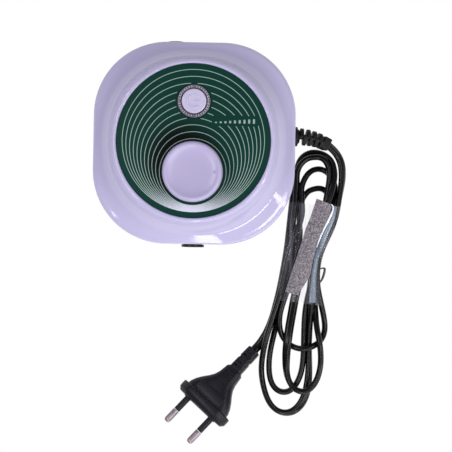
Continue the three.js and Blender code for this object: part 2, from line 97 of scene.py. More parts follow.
def finish_of(name, colour, rough, mottle=0.04, grain=900.0, bump=0.02, **sockets):
    """A Principled material with a faint mottle in its colour and roughness, and a fine grain in relief."""
    made = bpy.data.materials.new(name)
    made.use_nodes = True
    nodes, links = made.node_tree.nodes, made.node_tree.links
    shader = nodes["Principled BSDF"]
    place = nodes.new("ShaderNodeTexCoord")
    cloud = nodes.new("ShaderNodeTexNoise")
    cloud.inputs["Scale"].default_value = 60.0
    cloud.inputs["Detail"].default_value = 4.0
    links.new(place.outputs["Object"], cloud.inputs["Vector"])

    tint = nodes.new("ShaderNodeMix")
    tint.data_type = "RGBA"
    base = linear(colour)
    tint.inputs["A"].default_value = [c * (1 - mottle) for c in base[:3]] + [1]
    tint.inputs["B"].default_value = [min(1, c * (1 + mottle)) for c in base[:3]] + [1]
    links.new(cloud.outputs["Fac"], tint.inputs["Factor"])
    links.new(tint.outputs["Result"], shader.inputs["Base Color"])

    span = nodes.new("ShaderNodeMapRange")
    span.inputs["To Min"].default_value = max(0.02, rough * (1 - 2 * mottle))
    span.inputs["To Max"].default_value = min(1, rough * (1 + 2 * mottle))
    links.new(cloud.outputs["Fac"], span.inputs["Value"])
    links.new(span.outputs["Result"], shader.inputs["Roughness"])

    fine = nodes.new("ShaderNodeTexNoise")
    fine.inputs["Scale"].default_value = grain
    fine.inputs["Detail"].default_value = 3.0
    links.new(place.outputs["Object"], fine.inputs["Vector"])
    relief = nodes.new("ShaderNodeBump")
    relief.inputs["Strength"].default_value = bump
    relief.inputs["Distance"].default_value = 0.0004
    links.new(fine.outputs["Fac"], relief.inputs["Height"])
    links.new(relief.outputs["Normal"], shader.inputs["Normal"])
    for socket, value in sockets.items():
        shader.inputs[socket.replace("_", " ")].default_value = value
    return made


def metal(name, colour, rough, grain=700.0, bump=0.05):
    return finish_of(name, colour, rough, 0.08, grain, bump, Metallic=1.0)


LILAC = finish_of("lilac_gloss", "#b8b3d3", 0.075, 0.012, 420, 0.004, Specular_IOR_Level=0.5)
LILAC_SATIN = finish_of("lilac_satin", "#b0a8ca", 0.3, 0.015, 700, 0.02, Specular_IOR_Level=0.4)
LILAC_PALE = finish_of("lilac_pale", "#c2bcd7", 0.24, 0.015, 700, 0.02, Specular_IOR_Level=0.45)
SMOKE = finish_of("smoke_ring", "#66626e", 0.2, 0.1, 900, 0.03, Coat_Weight=0.4)
MARKS = finish_of("ring_marks", "#b5b2be", 0.35, 0.06, 900, 0.03)
BLACK = finish_of("black_plastic", "#0b0b0d", 0.36, 0.12, 1300, 0.09, Specular_IOR_Level=0.35)
RUBBER = finish_of("black_rubber", "#100f12", 0.45, 0.15, 1600, 0.08, Specular_IOR_Level=0.25)
PLUG_BLACK = finish_of("plug_black", "#100f19", 0.42, 0.14, 1500, 0.05, Specular_IOR_Level=0.28)
JACKET = finish_of("cord_jacket", "#060507", 0.27, 0.05, 1100, 0.001, Specular_IOR_Level=0.28)
STEEL = metal("steel", "#b9bbbe", 0.26)
PIN = metal("pin_metal", "#9c9097", 0.42, 900, 0.002)
BRASS = metal("brass", "#d8b25e", 0.26)
ALLOY = metal("alloy", "#a9acb0", 0.36, 300, 0.15)
IRON = metal("laminated_iron", "#74777b", 0.5, 250, 0.3)
BOARD = finish_of("circuit_board", "#1d5a3a", 0.42, 0.2, 500, 0.1)
TAPE = finish_of("winding_tape", "#d2a53a", 0.4, 0.12, 500, 0.12)
GREY = finish_of("grey_plastic", "#83878c", 0.48, 0.06, 1200, 0.06)
BROWN = finish_of("brown_insulation", "#6e4429", 0.42, 0.08, 1200, 0.05)
BLUE = finish_of("blue_insulation", "#2e62ac", 0.42, 0.08, 1200, 0.05)


PANEL_GREEN = "#0a352d"
# Colour and centre of the dial's shadow, painted into the panel's green.
PANEL_PAINTED_SHADOW = "#020a08"
PAINTED_SHADOW_CENTRE = (-0.006, -0.011, 0.057)
INK_FAR = "#8fa79d"
INK_NEAR = "#d3d2e2"


def panel_with_painted_shadow():
    """The panel's green, with a painted shadow of the dial: a soft patch behind it that sinks to near black.
    """
    made = finish_of("green_panel", PANEL_GREEN, 0.42, 0.06, 1500, 0.01, Specular_IOR_Level=0.1)
    nodes, links = made.node_tree.nodes, made.node_tree.links
    place = nodes.new("ShaderNodeTexCoord")
    away = nodes.new("ShaderNodeVectorMath")
    away.operation = "DISTANCE"
    away.inputs[1].default_value = PAINTED_SHADOW_CENTRE
    links.new(place.outputs["Object"], away.inputs[0])
    share = nodes.new("ShaderNodeMapRange")
    share.interpolation_type = "SMOOTHSTEP"
    share.inputs["From Min"].default_value = 0.012
    share.inputs["From Max"].default_value = 0.026
    links.new(away.outputs["Value"], share.inputs["Value"])
    tint = nodes.new("ShaderNodeMix")
    tint.data_type = "RGBA"
    tint.inputs["A"].default_value = linear(PANEL_PAINTED_SHADOW)
    tint.inputs["B"].default_value = linear(PANEL_GREEN)
    links.new(share.outputs["Result"], tint.inputs["Factor"])
    links.new(tint.outputs["Result"], nodes["Principled BSDF"].inputs["Base Color"])
    return made


def pale_ink():
    """Print that goes from grey-green to near white towards the front, where the circles run together."""
    made = finish_of("pale_ink", "#bccfc3", 0.5, 0.03, 1800, 0.02)
    nodes, links = made.node_tree.nodes, made.node_tree.links
    place = nodes.new("ShaderNodeTexCoord")
    split = nodes.new("ShaderNodeSeparateXYZ")
    links.new(place.outputs["Object"], split.inputs["Vector"])
    share = nodes.new("ShaderNodeMapRange")
    share.inputs["From Min"].default_value = -0.026
    share.inputs["From Max"].default_value = -0.040
    links.new(split.outputs["Y"], share.inputs["Value"])
    tint = nodes.new("ShaderNodeMix")
    tint.data_type = "RGBA"
    tint.inputs["A"].default_value = linear(INK_FAR)
    tint.inputs["B"].default_value = linear(INK_NEAR)
    links.new(share.outputs["Result"], tint.inputs["Factor"])
    links.new(tint.outputs["Result"], nodes["Principled BSDF"].inputs["Base Color"])
    return made


GREEN = panel_with_painted_shadow()
INK = pale_ink()


# ------------------------------------------------------------------ meshes
def build(name, solid, finish, body="housing", stands_for=(), sharp=40.0):
    """A piece from (points in mm, faces), closed and facing out, that rides on a body."""
    points, faces = solid
    mesh = bpy.data.meshes.new(name)
    mesh.from_pydata([Vector(p) * MM for p in points], [], faces)
    work = bmesh.new()
    work.from_mesh(mesh)
    bmesh.ops.remove_doubles(work, verts=work.verts, dist=1e-7)
    bmesh.ops.recalc_face_normals(work, faces=work.faces)
    work.to_mesh(mesh)
    work.free()
    mesh.materials.append(finish)
    shade(mesh, sharp)
    piece = bpy.data.objects.new(name, mesh)
    scene.collection.objects.link(piece)
    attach(piece, body)
    if stands_for:
        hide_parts(*stands_for)
    return piece


def shade(mesh, sharp):
    mesh.shade_smooth()
    mesh.set_sharp_from_angle(angle=math.radians(sharp))


def joined(*solids):
    points, faces = [], []
    for more, rim in solids:
        start = len(points)
        points += more
        faces += [[start + i for i in face] for face in rim]
    return points, faces


def moved(solid, matrix):
    return [matrix @ Vector(p) for p in solid[0]], solid[1]


def shifted(solid, x=0.0, y=0.0, z=0.0):
    return moved(solid, Matrix.Translation((x, y, z)))


def changed(solid, change):
    return [change(Vector(p)) for p in solid[0]], solid[1]


def arc_steps(a, control, b, steps):
    """Points on a quadratic curve from a to b, both included."""
    made = []
    for i in range(steps + 1):
        t = i / steps
        near, mid, far = (1 - t) ** 2, 2 * t * (1 - t), t * t
        made.append(tuple(near * p + mid * q + far * r for p, q, r in zip(a, control, b)))
    return made


def rounded(corners, steps=4, closed=False):
    """A profile with its corners rounded: each corner is (u, v) or (u, v, how far the rounding reaches)."""
    made = []
    count = len(corners)
    for i, corner in enumerate(corners):
        here = Vector(corner[:2])
        reach = corner[2] if len(corner) > 2 else 0
        if not reach or (not closed and i in (0, count - 1)):
            made.append(tuple(here))
            continue
        before = Vector(corners[i - 1][:2]) - here
        after = Vector(corners[(i + 1) % count][:2]) - here
        start = here + before.normalized() * min(reach, before.length * 0.5)
        end = here + after.normalized() * min(reach, after.length * 0.5)
        made += arc_steps(tuple(start), tuple(here), tuple(end), steps)
    return made


def lathe(profile, sides=96):
    """A solid turned about Z from (radius, z) points, from axis to axis or round a closed section."""
    points, faces, rings = [], [], []
    for r, z in profile:
        if r < 1e-6:
            rings.append([len(points)])
            points.append((0, 0, z))
            continue
        rings.append(list(range(len(points), len(points) + sides)))
        turns = [2 * math.pi * k / sides for k in range(sides)]
        points += [(r * math.cos(turn), r * math.sin(turn), z) for turn in turns]
    pairs = list(zip(rings, rings[1:]))
    if len(rings[0]) > 1:
        pairs.append((rings[-1], rings[0]))
    for a, b in pairs:
        for k in range(sides):
            n = (k + 1) % sides
            if len(a) == 1 and len(b) > 1:
                faces.append([a[0], b[k], b[n]])
            elif len(b) == 1 and len(a) > 1:
                faces.append([a[k], a[n], b[0]])
            elif len(a) > 1:
                faces.append([a[k], a[n], b[n], b[k]])
    return points, faces


def loft(sections, capped=True):
    """A skin over closed loops of equal length."""
    count = len(sections[0])
    points = [p for loop in sections for p in loop]
    faces = []
    for i in range(len(sections) - 1):
        a, b = i * count, (i + 1) * count
        faces += [[a + k, a + (k + 1) % count, b + (k + 1) % count, b + k] for k in range(count)]
    if capped:
        faces.append(list(range(count))[::-1])
        faces.append([(len(sections) - 1) * count + k for k in range(count)])
    return points, faces


def inset(outline, distance):
    """A convex outline moved inwards."""
    made = []
    for i, corner in enumerate(outline):
        a, b, c = (Vector(outline[(i + k) % len(outline)]) for k in (-1, 0, 1))
        first, second = (b - a).normalized(), (c - b).normalized()
        normal = Vector((-first.y - second.y, first.x + second.x))
        scale = distance / max(0.2, normal.length / 2) if normal.length else 0
        made.append(tuple(b + normal.normalized() * scale))
    return made


def slab(outline, low, high, edge=0.3, steps=3):
    """A convex outline, anticlockwise, pushed from low to high with rounded edges."""
    loops = []
    for k in range(steps + 1):
        turn = math.pi / 2 * k / steps
        loops.append((edge * (1 - math.sin(turn)), low + edge * (1 - math.cos(turn))))
    loops += [(d, low + high - z) for d, z in reversed(loops)]
    return loft([[(x, y, z) for x, y in inset(outline, d)] for d, z in loops])


def box(a, b, c, edge=0.3):
    """A block between the limits a, b and c along X, Y and Z."""
    return slab([(a[0], b[0]), (a[1], b[0]), (a[1], b[1]), (a[0], b[1])], *c, edge)


def round_rect(a, b, corner, steps=6):
    """A rounded rectangle about the origin, anticlockwise."""
    made = []
    for i, (sx, sy) in enumerate(((1, 1), (-1, 1), (-1, -1), (1, -1))):
        for k in range(steps + 1):
            turn = math.pi / 2 * (i + k / steps)
            x = sx * (a - corner) + corner * math.cos(turn)
            y = sy * (b - corner) + corner * math.sin(turn)
            made.append((x, y))
    return made


def along_x(solid):
    """Turns a solid made along Z so that it runs along X, with its own X across and its own Y up."""
    return [(z, x, y) for x, y, z in solid[0]], solid[1]


def carve(piece, cutters, sharp=40.0):
    """Cuts solids out of a piece and shades what is left."""
    tools = []
    for k, solid in enumerate(cutters):
        tool = build(f"cutter_{k}", solid, LILAC)
        tools.append(tool)
        cut = piece.modifiers.new(f"cut_{k}", "BOOLEAN")
        cut.operation = "DIFFERENCE"
        cut.solver = "EXACT"
        cut.object = tool
    bpy.context.view_layer.update()
    graph = bpy.context.evaluated_depsgraph_get()
    result = bpy.data.meshes.new_from_object(piece.evaluated_get(graph))
    piece.modifiers.clear()
    old = piece.data
    piece.data = result
    result.name = piece.name
    bpy.data.meshes.remove(old)
    for tool in tools:
        bpy.data.objects.remove(tool)
    shade(piece.data, sharp)
    return piece


def rod(radius, low, high, sides=48):
    return lathe([(0, low), (radius, low), (radius, high), (0, high)], sides)


# ------------------------------------------------------------------ the cord
# Its route: x, y, z in mm, and how far it is rolled from standing on edge, in degrees. It leaves the strain
# relief, makes four long loops at the far end and four bends beside the body, and ends at the plug. This
# list was not chosen by hand: it was computed, outside this script, from points measured in the photograph.
ROUTE = [
    # from the strain relief down the right side
    (77.2, 2, 12.2, 50), (80.5, -0.5, 9.8, 50), (83.5, -3.5, 7.4, 50), (86, -8.5, 6.8, 50),
    (86.5, -14, 6.6, 40), (86.5, -19, 6.4, 30), (85.5, -25, 6.8, 15), (84.5, -31.5, 7.6, 0),
    (83, -40.5, 8, 0), (80.5, -47.5, 8.2, 0), (76.5, -56, 8.2, 0), (73.5, -64, 8.2, 0),
    (72.5, -72.5, 8.2, 0), (73, -80.5, 8.2, 0), (74.5, -87.5, 7.6, 0),
    # first loop at the far end
    (76.5, -94.5, 5.2, 0), (78.5, -103.5, 2.8, 0), (78, -109, 3.2, 0), (75.5, -113.5, 5.2, 0),
    (70.5, -116.5, 8.2, 0), (64.5, -118, 8, 0), (58.5, -116.5, 5.8, 0), (54, -112.5, 6, 0),
    (51, -106, 8, 0), (51, -97, 8.4, 0),
    # back up the left bundle
    (54, -88, 8.2, 0), (57, -77.5, 8.2, 0), (59, -66.5, 8.2, 0), (61, -59.5, 8, 0), (62, -55, 6.8, 0),
    (62.5, -49.5, 5, 0), (62, -44, 3.6, 0), (62, -38, 2.8, 0),
    # lowest bend beside the body
    (62.5, -33.5, 2.8, 0), (63.5, -29.5, 2.8, 0), (65.5, -26.5, 2.8, 0), (67.5, -24.5, 2.8, 0),
    (70.5, -23.5, 2.8, 0), (73, -23, 2.8, 0), (76, -23.5, 2.8, 0), (78.5, -26, 2.8, 0),
    (79, -29.5, 2.8, 0),
    # right bundle, inside
    (78, -34.5, 2.8, 0), (75, -44, 2.8, 0), (71.5, -55.5, 2.8, 0), (70, -66, 2.8, 0),
    (69.5, -75.5, 2.8, 0), (69, -82.5, 2.8, 0), (67, -91, 2.8, 0),
    # second loop at the far end
    (66, -100, 2.8, 0), (66, -113.5, 2.8, 0), (66, -123.5, 2.8, 0), (65, -132.5, 2.8, 0),
    (62, -139.5, 2.8, 0), (58, -143.5, 2.8, 0), (53.5, -144, 2.8, 0), (49.5, -142, 2.8, 0),
    (46.5, -137, 2.8, 0), (45.5, -129, 2.8, 0), (46, -120.5, 2.8, 0), (48, -111, 2.8, 0),
    (50, -102.5, 2.8, 0),
    # left bundle
    (52.5, -94, 2.8, 0), (54.5, -84.5, 2.8, 0), (57, -73, 2.8, 0), (59, -61, 2.8, 0), (58.5, -55, 4, 0),
    (58, -50, 6, 0), (58, -44, 7.6, 0), (58.5, -38, 8.2, 0),
    # second bend beside the body
    (59.5, -32, 7.6, 0), (59.5, -26.5, 7.4, 0), (60, -20.5, 7.6, 0), (59.5, -15, 8.2, 0),
    (61, -10.5, 8.2, 0), (63.5, -7.5, 8, 0), (66.5, -5.5, 7.6, 0), (70, -5, 7.6, 0), (73.5, -5, 7.6, 0),
    (76.5, -7, 8, 0), (78.5, -11, 8.2, 0), (79, -15.5, 8.4, 0), (78.5, -21, 8.2, 0),
    (77.5, -27.5, 8.2, 0),
    # right bundle, on top
    (76.5, -33.5, 8.2, 0), (75, -44.5, 8.2, 0), (72, -55.5, 8.2, 0), (70, -65.5, 8.2, 0),
    (69.5, -74, 8.2, 0), (70, -82.5, 8.2, 0), (70, -90, 7.2, 0),
    # outermost loop at the far end
    (69.5, -101, 3.4, 0), (69, -115.5, 2.8, 0), (69.5, -128.5, 2.8, 30), (69, -140.5, 2.8, 70),
    (66.5, -149, 2.8, 80), (62, -154.5, 2.8, 60), (56.5, -156.5, 2.8, 25), (50.5, -155, 2.8, 5),
    (45.5, -149.5, 2.8, 0), (42.5, -140.5, 2.8, 0), (41, -131.5, 3.4, 0), (41.5, -123.5, 5.6, 0),
    (42.5, -117, 7.6, 0), (44, -110, 8.2, 0), (46, -103.5, 8.2, 0),
    # left bundle, on top
    (48.5, -95, 8.2, 0), (51, -87, 8.2, 0), (53.5, -75, 8.2, 0), (56, -62, 8.4, 0), (57.5, -56, 10.4, 0),
    (59.5, -50, 11.6, 0), (62, -44, 10.4, 0), (63.5, -38, 8.6, 0),
    # third bend beside the body
    (63, -32.5, 8.8, 0), (62.5, -27, 9, 0), (62.5, -22.5, 8.8, 0), (64, -18.5, 8.2, 0),
    (66, -15, 7.6, 0), (69, -12.5, 6, 0), (73, -11.5, 3.4, 0), (76.5, -12.5, 2.8, 0),
    (79.5, -15, 2.8, 0), (82, -19, 2.8, 0), (83, -23.5, 2.8, 0),
    # right bundle, outside
    (82.5, -28.5, 2.8, 0), (81, -34, 2.8, 0), (79.5, -44.5, 2.8, 0), (79.5, -41.5, 2.8, 0),
    (78, -49, 2.8, 0), (75, -56.5, 2.8, 0), (73, -65.5, 2.8, 0), (73, -74.5, 2.8, 0),
    (72.5, -82, 2.8, 0), (72, -89.5, 2.8, 0),
    # fourth loop, over the others
    (72.5, -97, 4.8, 0), (73, -105, 8.2, 0), (74.5, -112, 12.2, 0), (75.5, -118.5, 10.6, 0),
    (76, -125.5, 8.2, 0), (75, -132, 8.2, 0), (73, -137.5, 8.2, 0), (69.5, -141.5, 8.4, 0),
    (65.5, -143, 8.4, 0), (61, -141.5, 8.4, 0), (58, -138, 8, 0), (56, -133, 7.2, 10),
    (55.5, -126.5, 7.4, 40), (55.5, -119.5, 9.2, 60), (56, -112.5, 11.6, 75), (57, -104.5, 10.8, 85),
    (58.5, -96.5, 9, 90),
    # across the hank, on top
    (59.5, -89.5, 8.4, 85), (61.5, -80.5, 8.8, 60), (64.5, -70, 9.8, 30), (68, -58.5, 11.4, 5),
    (71.5, -46.5, 13.2, 0), (75.5, -36.5, 14, 0), (78.5, -30, 13.6, 0),
    # outermost bend beside the body
    (80.5, -23.5, 12, 0), (82, -17, 9.6, 0), (81.5, -11, 7.4, 0), (80, -6.5, 5.6, 0),
    (76.5, -3.5, 4.4, 0), (72, -2, 4, 0), (68, -2, 3.4, 0), (64.5, -3.5, 3.2, 0), (61.5, -6.5, 2.8, 0),
    (60, -11.5, 2.8, 0), (59.5, -17.5, 2.8, 0), (58.5, -23, 2.8, 0),
    # left bundle, outside, and on to the plug
    (57.5, -30.5, 2.8, 0), (57, -36, 2.8, 0), (56, -47, 2.8, 0), (55, -58.5, 2.8, 0),
    (53, -71.5, 2.8, 0), (51, -83.5, 2.8, 0), (49, -91.5, 2.8, 0), (47.5, -98, 2.8, 5),
    (46, -103, 2.8, 20), (44.5, -108, 2.8, 50), (42, -113, 2.8, 80), (39.5, -116.5, 2.8, 100),
    (37.5, -118.5, 3.4, 105), (36.2, -120.2, 3.8, 110),
]


def spline(control, per_span):
    """A cubic B-spline that runs past the control points and starts and ends on the outer ones."""
    first = [2 * a - b for a, b in zip(control[0], control[1])]
    last = [2 * a - b for a, b in zip(control[-1], control[-2])]
    full = [first, *control, last]
    made = []
    for i in range(len(full) - 3):
        for k in range(per_span):
            t = k / per_span
            weights = ((1 - t) ** 3, 3 * t**3 - 6 * t**2 + 4, -3 * t**3 + 3 * t**2 + 3 * t + 1, t**3)
            made.append([sum(w * full[i + j][axis] for j, w in enumerate(weights)) / 6 for axis in range(4)])
    made.append(list(control[-1]))
    return made


def twin_section(steps=28):
    """The flat cord's section, two round cores side by side with a shallow valley between them."""
    made = []
    for k in range(steps):
        turn = 2 * math.pi * k / steps
        across, up = math.cos(turn), math.sin(turn)
        waist = 1 - 0.11 * math.exp(-((up / 0.3) ** 2))
        made.append((across * CORD_THICK / 2 * 1.1 * waist, up * CORD_WIDE / 2))
    return made


def sweep_cord(path):
    section = twin_section()
    loops = []
    for i, (x, y, z, roll) in enumerate(path):
        ahead = Vector(path[min(i + 1, len(path) - 1)][:3]) - Vector(path[max(i - 1, 0)][:3])
        ahead.normalize()
        side = ahead.cross(Vector((0, 0, 1))).normalized()
        up = side.cross(ahead)
        turn = Matrix.Rotation(math.radians(roll), 3, ahead)
        side, up = turn @ side, turn @ up
        here = Vector((x, y, z))
        loops.append([here + side * a + up * b for a, b in section])
    return loft(loops)


cord_path = spline(ROUTE, 8)
cord_solids = ["cord_lead", "cord_hank", "cord_tail"]
cord = build("mains_cord", sweep_cord(cord_path), JACKET, stands_for=cord_solids, sharp=70)


# ------------------------------------------------------------------ strain relief on the body
BEND_FROM = 9.0
BEND_R = 27.9
BEND_TO = (0.76, -0.65)


def bent(p):
    """Bends what lies beyond BEND_FROM along Z onto the arc of the strain relief."""
    if p.z <= BEND_FROM:
        return p
    bx, by = BEND_TO
    toward = p.x * bx + p.y * by
    turn = (p.z - BEND_FROM) / BEND_R
    shift = BEND_R - (BEND_R - toward) * math.cos(turn) - toward
    return Vector((p.x + shift * bx, p.y + shift * by, BEND_FROM + (BEND_R - toward) * math.sin(turn)))


def tooth(side, low, radius, thick):
    """Half a disc on one side of the sleeve."""
    turns = [math.pi * k / 14 for k in range(15)]
    if side < 0:
        turns.reverse()
    outline = [(radius * math.cos(t), side * (radius * math.sin(t) + 0.6)) for t in turns]
    return slab(outline, low, low + thick, 0.35)


def strain_relief():
    seat = lathe(rounded([
        (0, 0.3), (5.6, 0.3, 0.4), (5.6, 4.2, 0.2), (4.3, 4.2), (4.3, 7.3), (5.65, 7.3, 0.5),
        (5.65, 9.1, 0.6), (4.4, 9.3, 0.5), (3.5, 10.4, 0.5), (0, 10.4),
    ]), 56)
    core = loft([[(x, y, 9 + 0.9 * k) for x, y in round_rect(3.2 - 0.02 * k, 1.45, 1.2)] for k in range(19)])
    teeth = [tooth(1, 10.5 + 3.5 * k, 4.35 - 0.18 * k, 1.9) for k in range(4)]
    teeth += [tooth(-1, 12.2 + 3.4 * k, 4.3 - 0.18 * k, 2.1) for k in range(4)]
    collar = slab(round_rect(3.3, 3.75, 0.9), 24.3, 28.3, 0.4)
    solid = changed(joined(seat, core, collar, *teeth), bent)
    turned = Matrix.Translation(RELIEF_BASE) @ Matrix.Rotation(math.pi / 2, 4, "Y")
    return build("strain_relief_sleeve", moved(solid, turned), RUBBER, stands_for=["strain_relief"])


relief = strain_relief()


# ------------------------------------------------------------------ the plug
def plug_frame():
    turn = Matrix.Rotation(PLUG_YAW, 4, "Z") @ Matrix.Rotation(-PLUG_PITCH, 4, "Y")
    return Matrix.Translation(PLUG_FACE) @ turn @ Matrix.Rotation(PLUG_ROLL, 4, "X")


def plug_section(x, wide, high, square, steps=40):
    """A superellipse across the plug at x: square 2 is an ellipse, more is boxier."""
    loop = []
    for k in range(steps):
        turn = 2 * math.pi * k / steps
        c, s = math.cos(turn), math.sin(turn)
        y = wide * math.copysign(abs(c) ** (2 / square), c)
        z = high * math.copysign(abs(s) ** (2 / square), s)
        loop.append((x, y, z))
    return loop


def plug_flange():
    quarter = [(17.65, 1.9), (16.6, 3.4), (11.8, 6.5), (10.6, 6.85)]
    hexagon = quarter + [(-x, y) for x, y in reversed(quarter)]
    hexagon += [(-x, -y) for x, y in quarter] + [(x, -y) for x, y in reversed(quarter)]
    chamfer = ((0, -2.2), (0.1, -1.9), (1.5, -0.2), (1.8, 0))
    front = [[(x, y, z) for x, y in inset(hexagon, d)] for d, z in chamfer]
    return along_x(joined(slab(hexagon, -6.4, -2.0, 0.7), loft(front)))


def make_plug():
    waist = [
        (-5.6, 15.4, 5.9, 3.2), (-8.5, 14.9, 5.95, 3.2), (-11.5, 13.6, 6.0, 3.1), (-14.5, 11.6, 6.0, 3.0),
        (-17.5, 9.2, 5.9, 2.9), (-20.5, 7.2, 5.7, 3.0), (-23.5, 6.1, 5.4, 3.3), (-27.0, 5.6, 5.0, 3.4),
        (-29.5, 5.3, 4.7, 3.4), (-30.0, 4.7, 4.2, 3.2),
    ]
    grip = loft([plug_section(*station) for station in waist])
    pad = [box((-27.2 + k * 1.25, -26.5 + k * 1.25), (-3.3, 3.3), (5.0, 6.2), 0.2) for k in range(6)]
    crown = box((-13.5, -7.2), (-9.4, 9.4), (5.2, 6.35), 0.4)
    face = along_x(slab(round_rect(7.3, 4.2, 1.0), -0.5, 0.35, 0.25))
    bar = [(-29, 4.6, 4.1), (-30.4, 4.6, 4.1), (-30.6, 4.1, 3.7), (-37.6, 3.95, 3.6), (-37.8, 3.6, 3.4),
           (-39.0, 3.6, 3.4), (-39.2, 4.0, 3.6), (-46.2, 3.8, 3.5), (-46.6, 3.3, 3.0)]
    tail = loft([plug_section(x, wide, high, 3.6) for x, wide, high in bar])
    sleeves = []
    for side in (-1, 1):
        collar = rounded([(0, -1), (2.9, -1), (2.9, 0.5, 0.3), (1.9, 0.7), (1.9, 10.0, 0.2), (0, 10.0)])
        sleeve = moved(lathe(collar, 32), Matrix.Rotation(math.pi / 2, 4, "Y"))
        sleeves.append(shifted(sleeve, y=side * 9.3))
    ridge = [box((-5.9, -5.2), (-9.9 + 2.2 * k, -9.1 + 2.2 * k), (6.7, 7.1), 0.12) for k in range(10)]
    solid = moved(joined(plug_flange(), grip, crown, face, *pad, *ridge, *sleeves), plug_frame())
    made = build("mains_plug", solid, PLUG_BLACK, stands_for=["plug_body"])
    relief_bar = build("mains_plug_relief", moved(tail, plug_frame()), PLUG_BLACK, sharp=30)
    slots = []
    for x, side in ((-32.6, 1), (-35.2, -1), (-40.6, 1), (-43.2, -1)):
        for z in (-4, 1.6):
            slot = box((x - 0.55, x + 0.55), (-3.0 + 0.9 * side, 2.1 + 0.9 * side), (z, z + 2.6), 0.1)
            slots.append(moved(slot, plug_frame()))
    carve(relief_bar, slots, 30)
    return made, relief_bar


def make_pins():
    made = []
    for name, side in (("plug_pin_left", 1), ("plug_pin_right", -1)):
        profile = rounded([(0, 10.3), (2, 10.3, 0.2), (2, 17.6, 0.8), (1.3, 19, 0.8), (0, 19)], 5)
        pin = shifted(moved(lathe(profile, 40), Matrix.Rotation(math.pi / 2, 4, "Y")), y=side * 9.3)
        made.append(build(name + "_turned", moved(pin, plug_frame()), PIN, stands_for=[name]))
    return made


plug = make_plug()
pins = make_pins()


# ------------------------------------------------------------------ the film wrap
def streaked(name, colour, low, high, rough, stretch):
    """A see-through film whose strength runs in streaks along the hank, from low to high."""
    made = finish_of(name, colour, rough, 0.02, 240, 0.03, Coat_Weight=0.4)
    nodes, links = made.node_tree.nodes, made.node_tree.links
    place = nodes.new("ShaderNodeTexCoord")
    turned = nodes.new("ShaderNodeMapping")
    turned.inputs["Rotation"].default_value = (0, 0, math.radians(-8))
    turned.inputs["Scale"].default_value = stretch
    links.new(place.outputs["Object"], turned.inputs["Vector"])
    cloud = nodes.new("ShaderNodeTexNoise")
    cloud.inputs["Scale"].default_value = 1.0
    cloud.inputs["Detail"].default_value = 3.0
    links.new(turned.outputs["Vector"], cloud.inputs["Vector"])
    span = nodes.new("ShaderNodeMapRange")
    span.inputs["From Min"].default_value = 0.36
    span.inputs["From Max"].default_value = 0.7
    span.inputs["To Min"].default_value = low
    span.inputs["To Max"].default_value = high
    links.new(cloud.outputs["Fac"], span.inputs["Value"])
    links.new(span.outputs["Result"], nodes["Principled BSDF"].inputs["Alpha"])
    return made


def frosted():
    made = finish_of("frosted_tape", "#8d8d90", 0.5, 0.1, 1500, 0.5)
    nodes, links = made.node_tree.nodes, made.node_tree.links
    shader = nodes["Principled BSDF"]
    shader.inputs["Alpha"].default_value = 0.93
    place = nodes.new("ShaderNodeTexCoord")
    speck = nodes.new("ShaderNodeTexNoise")
    speck.inputs["Scale"].default_value = 1150.0
    speck.inputs["Detail"].default_value = 2.0
    links.new(place.outputs["Object"], speck.inputs["Vector"])
    ramp = nodes.new("ShaderNodeValToRGB")
    ramp.color_ramp.elements[0].position = 0.35
    ramp.color_ramp.elements[0].color = linear("#484148")
    ramp.color_ramp.elements[1].position = 0.68
    ramp.color_ramp.elements[1].color = linear("#9a939b")
    links.new(speck.outputs["Fac"], ramp.inputs["Fac"])
    links.new(ramp.outputs["Color"], shader.inputs["Base Color"])
    return made


# The clear film's faint whitish tint is its own haze, and its streaks along the hank are a painted sheen
# over the dark strands.
FILM = streaked("clear_film", "#e6e6f4", 0.012, 0.07, 0.12, (420, 22, 200))
# A crease in the film, near white and nearly opaque: its whiteness is a painted highlight along the fold.
FOLD_PAINTED_HIGHLIGHT = streaked("folded_film_painted_highlight", "#f2f5fb", 0.7, 1.0, 0.15, (300, 60, 200))
FROST = frosted()
# A light blue-grey band of film beside the frosted strip: a painted reflection.
PAINTED_REFLECTION_FILM = streaked("film_painted_reflection", "#a9b8ca", 0.2, 0.5, 0.3, (300, 30, 200))
FIN_FILM = streaked("film_fin", "#2b2930", 0.85, 1.0, 0.2, (300, 60, 200))

# Stations of the wrap from the body's side to the far side: left edge, right edge and top of the film. This
# list and the four after it come from points measured in the photograph, as the cord's route does.
WRAP = [
    ((56.0, -31.5), (86.0, -34.0), 14.4),
    ((54.5, -48.0), (82.0, -50.0), 14.4),
    ((53.0, -57.5), (78.0, -58.0), 14),
    ((52.0, -66.0), (75.5, -67.5), 13.6),
    ((50.0, -83.0), (75.0, -83.5), 12.4),
    ((49.0, -89.0), (76.5, -92.0), 11.6),
]
# The frosted strip, and beside it a band of film with a painted reflection: left edge, right edge and
# height.
STRIP = [
    ((71.0, -29.5), (80.0, -33.0), 17),
    ((67.5, -40.5), (78.5, -41.0), 16.8),
    ((65.0, -47.0), (75.0, -48.5), 16.4),
    ((62.0, -58.0), (71.5, -58.0), 15.6),
    ((59.5, -66.0), (69.5, -66.5), 14.8),
    ((57.0, -74.0), (68.5, -74.0), 13.8),
    ((54.0, -84.0), (61.5, -86.0), 12.8),
]
PAINTED_REFLECTION_BAND = [
    ((81.0, -33.5), (83.0, -34.0), 16.8),
    ((80.0, -39.5), (82.0, -40.5), 16.2),
    ((76.5, -46.5), (79.0, -48.0), 15.7),
    ((72.5, -55.0), (75.5, -57.0), 15.2),
    ((70.5, -64.0), (73.0, -64.5), 14.6),
    ((69.0, -72.5), (72.0, -73.0), 14.1),
    ((68.5, -81.0), (72.0, -81.0), 13.5),
    ((68.0, -90.0), (72.0, -90.0), 12.9),
]
